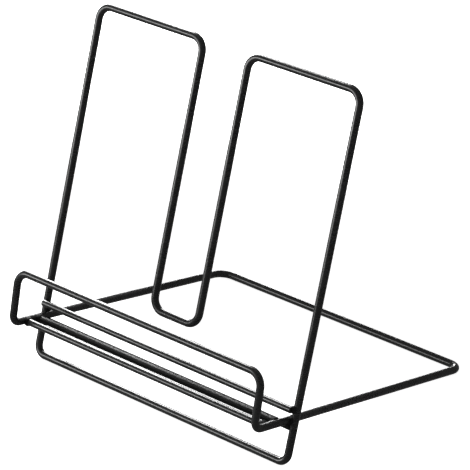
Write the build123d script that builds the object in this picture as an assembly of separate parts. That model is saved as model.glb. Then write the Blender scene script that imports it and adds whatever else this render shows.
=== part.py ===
from build123d import *
from math import atan2, cos, radians, sin
import os

# Book display stand, welded from six pieces of round steel wire.
#
# The back frame leans backwards on its own bottom bar. The base frame crosses it near
# the bottom: in front it is a ledge with a lip, behind it two arms run down to a rear
# bar that rests on the table. Four thinner bars make the ledge and tie the legs.
#
# Axes: +X to the right of a reader in front, +Y to the back, +Z up. The origin is on the
# table, under the middle of the stand.

# ---- Driving dimensions: millimetres and degrees ----
frame_wire = 5.5            # diameter of the two bent frames
bar_wire = 5.0              # diameter of the four straight bars
weld_sink = 0.5             # how far the bars are pressed into the wires they cross or butt
arm_sink = 1.2              # the same, for the arms and the legs

leg_spacing = 240.0         # outer legs, axis to axis
back_length = 255.0         # bottom bar to top bars, along the legs
back_lean = 16.0            # legs, from the vertical
gap_width = 42.0            # inner legs, axis to axis
gap_bottom = 64.0           # bottom of the gap between the inner legs, along the legs
top_bend = 10.0             # radius of the wire's axis at the tops of the legs
gap_bend = 9.5              # the same, at the bottom of the gap
foot_bend = 7.0             # the same, at the ends of the bottom bar

arm_crossing = 29.8         # where the arms cross the legs, along the legs
rear_reach = 188.0          # bottom bar to rear bar, level
ledge_depth = 35.8          # legs to lip, along the arms
lip_height = 38.8           # arms to lip bar, along the posts
lip_lean = 2.6              # posts, further back than square to the arms
lip_bend = 10.0             # radius at the ends of the lip bar
ledge_bend = 6.2            # radius where a lip post turns into an arm
rear_bend = 10.0            # radius at the ends of the rear bar

upper_bar_height = 37.8     # upper leg bar, along the legs
middle_bar_reach = 12.1     # legs to middle ledge bar, along the arms
front_bar_reach = 23.6      # legs to front ledge bar, along the arms
upper_bar_length = 238.0    # upper leg bar, end to end
bar_chamfer = 0.4           # broken edge at its ends

arm_bead = 3.8              # radius of the weld metal joining a leg, an arm and the lower bar
upper_bar_bead = 2.7        # the same, at the ends of the upper leg bar
ledge_bar_bead = 3.3        # the same, at the ends of the ledge bars
bead_inset = 0.3            # beads of the ledge bars, inwards from the arms
upper_bead_inset = 1.25     # beads of the upper leg bar, inwards from the legs' axes

# ---- Worked out from them, from the middle of the bottom bar's axis ----
leg_x = leg_spacing / 2
gap_x = gap_width / 2
arm_x = leg_x - (frame_wire - arm_sink)
bar_offset = (frame_wire + bar_wire) / 2 - weld_sink

lean = radians(back_lean)
up_leg = Vector(0, sin(lean), cos(lean))
leg_front = Vector(0, -cos(lean), sin(lean))

crossing = up_leg * arm_crossing
rear_bar = Vector(0, rear_reach, 0)
slope = atan2(crossing.Z, rear_reach - crossing.Y)
to_lip = Vector(0, -cos(slope), sin(slope))
post_lean = slope + radians(lip_lean)
up_post = Vector(0, sin(post_lean), cos(post_lean))

ledge_corner = crossing + to_lip * ledge_depth
lip_bar = ledge_corner + up_post * lip_height

# The upper leg bar lies on the fronts of the legs. The lower one is butted between them,
# just low enough to touch the undersides of the arms.
lower_bar_height = arm_crossing - bar_offset / cos(lean - slope)
upper_leg_bar = up_leg * upper_bar_height + leg_front * bar_offset
lower_leg_bar = up_leg * lower_bar_height
middle_ledge_bar = crossing + to_lip * middle_bar_reach
front_ledge_bar = crossing + to_lip * front_bar_reach


def at_x(x, point):
    """The point, moved sideways to x."""
    return Vector(x, point.Y, point.Z)


def both_sides(x, point):
    """The point, moved sideways to x on the left and on the right."""
    return [at_x(-x, point), at_x(x, point)]


def closed_loop(corners, radii):
    """Frame wire bent round the corners and closed on itself."""
    path = FilletPolyline(*corners, radius=radii, close=True)
    section = Plane(origin=path @ 0, z_dir=path % 0) * Circle(frame_wire / 2)
    return sweep(section, path=path)


def make_back_frame():
    """M outline in one leaning plane: two tall panels, joined below the middle gap."""
    left = [
        (-leg_x, 0, foot_bend),
        (-leg_x, back_length, top_bend),
        (-gap_x, back_length, top_bend),
        (-gap_x, gap_bottom, gap_bend),
    ]
    right = [(-x, height, bend) for x, height, bend in reversed(left)]
    corners = [at_x(x, up_leg * height) for x, height, bend in left + right]
    return closed_loop(corners, [bend for x, height, bend in left + right])


def make_base_frame():
    """Rear bar, two arms, two lip posts and the lip bar."""
    left = [at_x(-arm_x, point) for point in (rear_bar, ledge_corner, lip_bar)]
    right = [at_x(arm_x, point) for point in (lip_bar, ledge_corner, rear_bar)]
    bends = [rear_bend, ledge_bend, lip_bend]
    return closed_loop(left + right, bends + bends[::-1])


def make_lapped_bar(centre):
    """Bar across the fronts of the legs, with the edges of its ends broken."""
    bar = Rot(0, 90, 0) * Cylinder(bar_wire / 2, upper_bar_length)
    bar = chamfer(bar.edges().filter_by(GeomType.CIRCLE), bar_chamfer)
    return Pos(*centre) * bar


def make_butted_bar(centre, wire_x):
    """Bar between two frame wires whose axes are wire_x to the left and right."""
    length = 2 * wire_x - frame_wire + 2 * weld_sink
    return Pos(*centre) * Rot(0, 90, 0) * Cylinder(bar_wire / 2, length)


def make_beads(points, radius, metal):
    """Lumps of weld metal round the points, cut back to the metal that is there."""
    beads = []
    for point in points:
        bead = Pos(*point) * Rot(0, 90, 0) * Sphere(radius)
        for neighbour in metal:
            bead = bead - neighbour
        beads += bead.solids()
    return Compound(children=beads)


def make_parts():
    """Every sub-part by name, each cut back to the one that it is pressed into."""
    back = make_back_frame()
    base = make_base_frame() - back
    upper = make_lapped_bar(upper_leg_bar) - back
    lower = make_butted_bar(lower_leg_bar, leg_x) - back - base
    middle = make_butted_bar(middle_ledge_bar, arm_x) - base
    front = make_butted_bar(front_ledge_bar, arm_x) - base

    arm_joints = both_sides((leg_x + arm_x) / 2, crossing)
    upper_face = up_leg * upper_bar_height + leg_front * (frame_wire - weld_sink) / 2
    upper_joints = both_sides(leg_x - upper_bead_inset, upper_face)
    bead_x = arm_x - frame_wire / 2 - bead_inset
    ledge_joints = both_sides(bead_x, middle_ledge_bar) + both_sides(bead_x, front_ledge_bar)

    return {
        "back_frame": back,
        "base_frame": base,
        "upper_leg_bar": upper,
        "lower_leg_bar": lower,
        "middle_ledge_bar": middle,
        "front_ledge_bar": front,
        "arm_welds": make_beads(arm_joints, arm_bead, [back, base, lower]),
        "upper_bar_welds": make_beads(upper_joints, upper_bar_bead, [back, upper]),
        "ledge_bar_welds": make_beads(ledge_joints, ledge_bar_bead, [base, middle, front]),
    }


def main():
    parts = make_parts()
    reach = parts["base_frame"].bounding_box()
    onto_table = Pos(0, -reach.center().Y, frame_wire / 2)
    os.makedirs("parts", exist_ok=True)
    for name, solid in parts.items():
        export_step(onto_table * solid, f"parts/{name}.step")


main()
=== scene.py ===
import math

import bpy
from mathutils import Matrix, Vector, noise


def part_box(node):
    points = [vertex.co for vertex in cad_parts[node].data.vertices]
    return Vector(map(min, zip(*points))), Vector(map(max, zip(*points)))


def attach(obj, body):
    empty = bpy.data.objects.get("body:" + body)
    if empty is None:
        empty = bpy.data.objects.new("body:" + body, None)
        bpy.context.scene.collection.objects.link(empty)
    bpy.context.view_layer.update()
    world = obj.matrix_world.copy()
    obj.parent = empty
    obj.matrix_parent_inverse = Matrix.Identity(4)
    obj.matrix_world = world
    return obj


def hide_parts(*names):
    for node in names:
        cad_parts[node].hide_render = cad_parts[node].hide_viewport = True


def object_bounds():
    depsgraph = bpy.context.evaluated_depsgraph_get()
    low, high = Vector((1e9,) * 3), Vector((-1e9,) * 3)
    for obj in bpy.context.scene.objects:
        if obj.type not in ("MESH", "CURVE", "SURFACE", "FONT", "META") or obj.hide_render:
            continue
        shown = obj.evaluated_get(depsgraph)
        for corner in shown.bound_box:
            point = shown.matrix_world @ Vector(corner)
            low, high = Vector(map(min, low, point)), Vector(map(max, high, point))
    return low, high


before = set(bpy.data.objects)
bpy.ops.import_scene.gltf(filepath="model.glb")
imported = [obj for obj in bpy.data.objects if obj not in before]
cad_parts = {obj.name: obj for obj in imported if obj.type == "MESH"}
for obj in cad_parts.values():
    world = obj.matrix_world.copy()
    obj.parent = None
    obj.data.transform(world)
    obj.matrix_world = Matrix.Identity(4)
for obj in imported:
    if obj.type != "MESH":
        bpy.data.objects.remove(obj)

CAD_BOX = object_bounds()

# Looks, light and camera for the book display stand, round its CAD model.
# Metres in the model's frame: +X right, +Y back, +Z up, the table at 0.
MM = 0.001


def add_object(name, data):
    obj = bpy.data.objects.new(name, data)
    bpy.context.scene.collection.objects.link(obj)
    return obj


# ---- Node helpers ----
def new_material(name):
    """Empty node material with its shader. Returns the material, its tree and the shader."""
    material = bpy.data.materials.new(name)
    material.use_nodes = True
    tree = material.node_tree
    tree.nodes.clear()
    shader = tree.nodes.new("ShaderNodeBsdfPrincipled")
    output = tree.nodes.new("ShaderNodeOutputMaterial")
    tree.links.new(shader.outputs["BSDF"], output.inputs["Surface"])
    return material, tree, shader


def feed(tree, socket, value):
    """Sets a socket to a constant, or links another node's output to it."""
    if isinstance(value, bpy.types.NodeSocket):
        tree.links.new(value, socket)
    else:
        socket.default_value = value


def math_node(tree, operation, *values, clamp=False):
    node = tree.nodes.new("ShaderNodeMath")
    node.operation = operation
    node.use_clamp = clamp
    for socket, value in zip(node.inputs, values):
        feed(tree, socket, value)
    return node.outputs[0]


def shifted(tree, vector, offset):
    """The vector, moved by an offset so that it meets another part of the noise."""
    node = tree.nodes.new("ShaderNodeVectorMath")
    node.operation = "ADD"
    tree.links.new(vector, node.inputs[0])
    node.inputs[1].default_value = (offset, offset * 0.7, offset * 1.3)
    return node.outputs[0]


def z_of(tree, vector):
    node = tree.nodes.new("ShaderNodeSeparateXYZ")
    tree.links.new(vector, node.inputs[0])
    return node.outputs["Z"]


def noise_node(tree, vector, scale, detail, rough):
    node = tree.nodes.new("ShaderNodeTexNoise")
    feed(tree, node.inputs["Vector"], vector)
    node.inputs["Scale"].default_value = scale
    node.inputs["Detail"].default_value = detail
    node.inputs["Roughness"].default_value = rough
    return node.outputs["Fac"]


def ramp(tree, value, low, high, to_low=0.0, to_high=1.0):
    """Smooth step of a value from low..high to to_low..to_high."""
    node = tree.nodes.new("ShaderNodeMapRange")
    node.interpolation_type = "SMOOTHSTEP"
    feed(tree, node.inputs["Value"], value)
    node.inputs["From Min"].default_value = low
    node.inputs["From Max"].default_value = high
    node.inputs["To Min"].default_value = to_low
    node.inputs["To Max"].default_value = to_high
    return node.outputs["Result"]


def mix_colour(tree, factor, first, second):
    node = tree.nodes.new("ShaderNodeMix")
    node.data_type = "RGBA"
    feed(tree, node.inputs["Factor"], factor)
    for socket, value in ((node.inputs[6], first), (node.inputs[7], second)):
        feed(tree, socket, value)
    return node.outputs[2]


def bump(tree, height, strength, distance, normal=None):
    node = tree.nodes.new("ShaderNodeBump")
    node.inputs["Strength"].default_value = strength
    node.inputs["Distance"].default_value = distance
    feed(tree, node.inputs["Height"], height)
    if normal is not None:
        feed(tree, node.inputs["Normal"], normal)
    return node.outputs["Normal"]


def grey(level, warmth=0.0):
    return (level * (1 + warmth), level, level * (1 - warmth), 1.0)


# ---- Powder coat ----
# Noise patterns, coarse to fine: scale, detail and roughness.
CLOUD = 70.0, 3.0, 0.5      # uneven tone and sheen
PATCH = 260.0, 6.0, 0.7     # patches worn by the table
PEEL = 420.0, 1.0, 0.5      # orange peel
FLECK = 640.0, 5.0, 0.75    # pale specks
GRIT = 900.0, 4.0, 0.65     # fine change of sheen
GRAIN = 2400.0, 2.0, 0.5    # grain of the powder

# Levels between which each effect goes from nothing to all.
NOISE_SPAN = 0.3, 0.7       # most of what noise reaches
PATCH_SPAN = 0.47, 0.6
FLECK_SPAN = 0.66, 0.74
RUB_SPAN = 0.42, 0.66
UPWARD_SPAN = 0.55, 0.95    # how far the surface faces up
TABLE_SPAN = 0.15 * MM, 0.9 * MM    # height. The table wears the coat below it.

DARK_TONE = grey(0.017, -0.02)
LIGHT_TONE = grey(0.027, -0.01)
FLECK_TONE = grey(0.06)
WORN_TONE = grey(0.16, 0.03)
FLECK_SHARE = 0.5           # how far a speck reaches its tone
WORN_SHARE = 0.85           # the same, for a worn patch

SMOOTHEST = 0.24            # roughness
ROUGHEST = 0.32
CLOUD_SHEEN = 0.03          # roughness that the clouds add or take away
WORN_SHEEN = 0.15           # roughness that wear adds
COAT_IOR = 1.5
COAT_SPECULAR = 0.5
MATT_SPECULAR = 1.6         # specular level lost for each unit of matt

PEEL_STRENGTH = 0.55
GRAIN_STRENGTH = 0.6


def powder_coat(name, offset, grain, peel, polish, matt):
    """Satin black powder coat, with grain, orange peel, uneven sheen, specks and wear.

    offset shifts the patterns, so that no two pieces match. grain and peel are bump heights in
    metres. polish is how far books have smoothed the upper side. matt makes the coat rougher and
    weakens its reflection.
    """
    material, tree, shader = new_material(name)
    place = tree.nodes.new("ShaderNodeTexCoord").outputs["Object"]
    point = shifted(tree, place, offset)
    facing = tree.nodes.new("ShaderNodeNewGeometry").outputs["Normal"]

    cloud = noise_node(tree, point, *CLOUD)
    grit = noise_node(tree, point, *GRIT)
    fleck = ramp(tree, noise_node(tree, point, *FLECK), *FLECK_SPAN)

    # Wear: patches where the wire stands on the table, and thin rubs on its upper side.
    on_table = ramp(tree, z_of(tree, place), *TABLE_SPAN, 1.0, 0.0)
    patches = ramp(tree, noise_node(tree, point, *PATCH), *PATCH_SPAN)
    worn = math_node(tree, "MULTIPLY", on_table, patches)
    upward = ramp(tree, z_of(tree, facing), *UPWARD_SPAN)
    top_rub = math_node(tree, "MULTIPLY", upward, ramp(tree, cloud, *RUB_SPAN))

    tone = mix_colour(tree, ramp(tree, cloud, *NOISE_SPAN), DARK_TONE, LIGHT_TONE)
    tone = mix_colour(tree, math_node(tree, "MULTIPLY", fleck, FLECK_SHARE), tone, FLECK_TONE)
    tone = mix_colour(tree, math_node(tree, "MULTIPLY", worn, WORN_SHARE), tone, WORN_TONE)
    tree.links.new(tone, shader.inputs["Base Color"])

    sheen = math_node(tree, "ADD",
                      ramp(tree, grit, *NOISE_SPAN, SMOOTHEST + matt, ROUGHEST + matt),
                      ramp(tree, cloud, *NOISE_SPAN, -CLOUD_SHEEN, CLOUD_SHEEN))
    sheen = math_node(tree, "SUBTRACT", sheen, math_node(tree, "MULTIPLY", top_rub, polish))
    wear_sheen = math_node(tree, "MULTIPLY", worn, WORN_SHEEN)
    sheen = math_node(tree, "ADD", sheen, wear_sheen, clamp=True)
    tree.links.new(sheen, shader.inputs["Roughness"])
    shader.inputs["IOR"].default_value = COAT_IOR - matt
    shader.inputs["Specular IOR Level"].default_value = COAT_SPECULAR - MATT_SPECULAR * matt

    relief = bump(tree, noise_node(tree, point, *PEEL), PEEL_STRENGTH, peel)
    relief = bump(tree, noise_node(tree, point, *GRAIN), GRAIN_STRENGTH, grain, relief)
    tree.links.new(relief, shader.inputs["Normal"])
    return material


def give(obj, material):
    """Gives a piece one material in its first slot."""
    if obj.data.materials:
        obj.data.materials[0] = material
    else:
        obj.data.materials.append(material)


# ---- Wires: the CAD shapes, each with a coat of its own ----
# Node, polish and matt.
WIRES = [
    ("back_frame", 0.04, 0.0),
    ("base_frame", 0.04, 0.0),
    ("upper_leg_bar", 0.04, 0.0),
    ("lower_leg_bar", 0.04, 0.27),
    ("middle_ledge_bar", 0.04, 0.16),
    ("front_ledge_bar", 0.08, 0.0),
]
WIRE_GRAIN = 0.016 * MM
WIRE_PEEL = 0.05 * MM
WIRE_SHIFT = 0.31           # of the patterns, from one wire to the next

for count, (name, polish, matt) in enumerate(WIRES):
    coat = powder_coat("coat_" + name, WIRE_SHIFT * count, WIRE_GRAIN, WIRE_PEEL, polish, matt)
    give(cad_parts[name], coat)


# ---- Welds: uneven lumps with ripples, in place of the plain CAD lumps ----
WELDS = ["arm_welds", "upper_bar_welds", "ledge_bar_welds"]
WELD_GRAIN = 0.04 * MM
WELD_PEEL = 0.15 * MM
WELD_MATT = 0.22
WELD_SHIFT = 3.1            # of the patterns, on the first welds
WELD_SHIFT_STEP = 0.4       # from one set of welds to the next

VOXEL = 0.22 * MM
SMOOTH_FACTOR = 0.5
SMOOTH_ROUNDS = 3
SWELL = 0.10 * MM           # so that the metal runs out onto the wires
LUMPS = 0.28 * MM
LUMP_SCALE = 0.55           # per millimetre
RIPPLES = 0.06 * MM
RIPPLE_SCALE = 1.9          # per millimetre
RIPPLE_SHIFT = Vector((7, 3, 5))


def evened(piece):
    """The piece's mesh, rebuilt in small even faces and slightly smoothed."""
    remesh = piece.modifiers.new("remesh", "REMESH")
    remesh.mode = "VOXEL"
    remesh.voxel_size = VOXEL
    smooth = piece.modifiers.new("smooth", "SMOOTH")
    smooth.factor = SMOOTH_FACTOR
    smooth.iterations = SMOOTH_ROUNDS
    bpy.context.view_layer.update()
    shaped = piece.evaluated_get(bpy.context.evaluated_depsgraph_get())
    mesh = bpy.data.meshes.new_from_object(shaped)
    piece.modifiers.clear()
    return mesh


def roughen(mesh):
    """Swells a weld's mesh and moves its surface in and out."""
    normals = [vertex.normal.copy() for vertex in mesh.vertices]
    for vertex, normal in zip(mesh.vertices, normals):
        where = vertex.co * 1000    # millimetres
        lump = noise.noise(where * LUMP_SCALE)
        ripple = noise.noise(where * RIPPLE_SCALE + RIPPLE_SHIFT)
        vertex.co += normal * (SWELL + LUMPS * lump + RIPPLES * ripple)
    mesh.shade_smooth()


def weld_piece(node, name):
    """The CAD weld metal of a node, remeshed fine and made uneven."""
    piece = add_object(name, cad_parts[node].data.copy())
    piece.data = evened(piece)
    roughen(piece.data)
    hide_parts(node)
    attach(piece, "root")
    return piece


for count, node in enumerate(WELDS):
    bead = weld_piece(node, node.replace("welds", "weld_beads"))
    shift = WELD_SHIFT + WELD_SHIFT_STEP * count
    bead.data.materials.clear()
    give(bead, powder_coat("coat_" + node, shift, WELD_GRAIN, WELD_PEEL, 0.0, WELD_MATT))


# ---- Floor and light ----
FLOOR_REACH = 40.0          # half of its width
FLOOR_TONE = 0.85
FLOOR_GLOW = 0.9            # makes the floor come out white under dim light
CARD_ROUGHNESS = 0.9
ROOM_LIGHT = 0.17           # radiance from all round

# A level card over the rear bar keeps the key light off it. It glows as the room does.
FLAG_LOW = (-0.45, 0.045, 0.075)
FLAG_HIGH = (0.135, 0.30, 0.075)

# Name, centre, width, height and radiance.
SOFTBOXES = [
    ("key", (-0.52, 0.26, 0.52), 0.28, 0.56, 23.0),
    ("rim", (-0.62, 0.74, 0.20), 0.26, 0.42, 12.0),
    ("low_fill", (-0.93, -1.14, 0.32), 0.8, 0.30, 13.0),
]


def card(name, low_corner, high_corner, tone, glow):
    """Flat level card of the stage, which is not part of the stand."""
    (left, front, height), (right, back, _) = low_corner, high_corner
    mesh = bpy.data.meshes.new(name)
    corners = [(left, front), (right, front), (right, back), (left, back)]
    mesh.from_pydata([Vector((x, y, height)) for x, y in corners], [], [(0, 1, 2, 3)])
    obj = add_object(name, mesh)
    material, _, shader = new_material(name + "_surface")
    shader.inputs["Base Color"].default_value = grey(tone)
    shader.inputs["Roughness"].default_value = CARD_ROUGHNESS
    shader.inputs["Specular IOR Level"].default_value = 0.0
    shader.inputs["Emission Color"].default_value = (1, 1, 1, 1)
    shader.inputs["Emission Strength"].default_value = glow
    mesh.materials.append(material)
    return obj


def softbox(name, place, width, height, radiance, target):
    """Rectangular area light that points at the target, as bright as radiance all over."""
    data = bpy.data.lights.new(name, "AREA")
    data.shape = "RECTANGLE"
    data.size = width
    data.size_y = height
    data.energy = radiance * width * height * math.pi
    light = add_object(name, data)
    light.location = Vector(place)
    light.rotation_euler = (target - light.location).to_track_quat("-Z", "Y").to_euler()


floor = card("floor", (-FLOOR_REACH, -FLOOR_REACH, 0), (FLOOR_REACH, FLOOR_REACH, 0),
             FLOOR_TONE, FLOOR_GLOW)
floor.visible_glossy = False
floor.visible_diffuse = False
flag = card("flag", FLAG_LOW, FLAG_HIGH, 0.0, ROOM_LIGHT)
flag.visible_camera = False

middle = (CAD_BOX[0] + CAD_BOX[1]) / 2
for name, place, width, height, radiance in SOFTBOXES:
    softbox(name, place, width, height, radiance, middle)

world = bpy.data.worlds.new("studio")
world.use_nodes = True
background = world.node_tree.nodes["Background"]
background.inputs["Color"].default_value = (1, 1, 1, 1)
background.inputs["Strength"].default_value = ROOM_LIGHT
bpy.context.scene.world = world
bpy.context.scene.view_settings.view_transform = "Standard"


# ---- Camera, placed from the middle of the bottom bar's axis ----
FRAME_WIRE = 0.0055         # diameter of the two bent frames, as in the CAD model
CAMERA_AT = Vector((1.3011, -1.3082, 0.9729))
CAMERA_AZIMUTH = 43.188     # degrees, to the right of the stand's front
CAMERA_ELEVATION = 24.572   # degrees above level
CAMERA_LENS = 231.4         # mm
CAMERA_SENSOR = 36.0        # mm
CAMERA_NEAR = 0.05
CAMERA_FAR = 100.0

bar_axis = Vector((0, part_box("back_frame")[0].y + FRAME_WIRE / 2, FRAME_WIRE / 2))
camera_data = bpy.data.cameras.new("camera")
camera_data.sensor_width = CAMERA_SENSOR
camera_data.lens = CAMERA_LENS
camera_data.clip_start = CAMERA_NEAR
camera_data.clip_end = CAMERA_FAR
camera = add_object("camera", camera_data)
camera.location = bar_axis + CAMERA_AT
tilt = math.radians(90 - CAMERA_ELEVATION)
camera.rotation_euler = (tilt, 0, math.radians(CAMERA_AZIMUTH))
bpy.context.scene.camera = camera
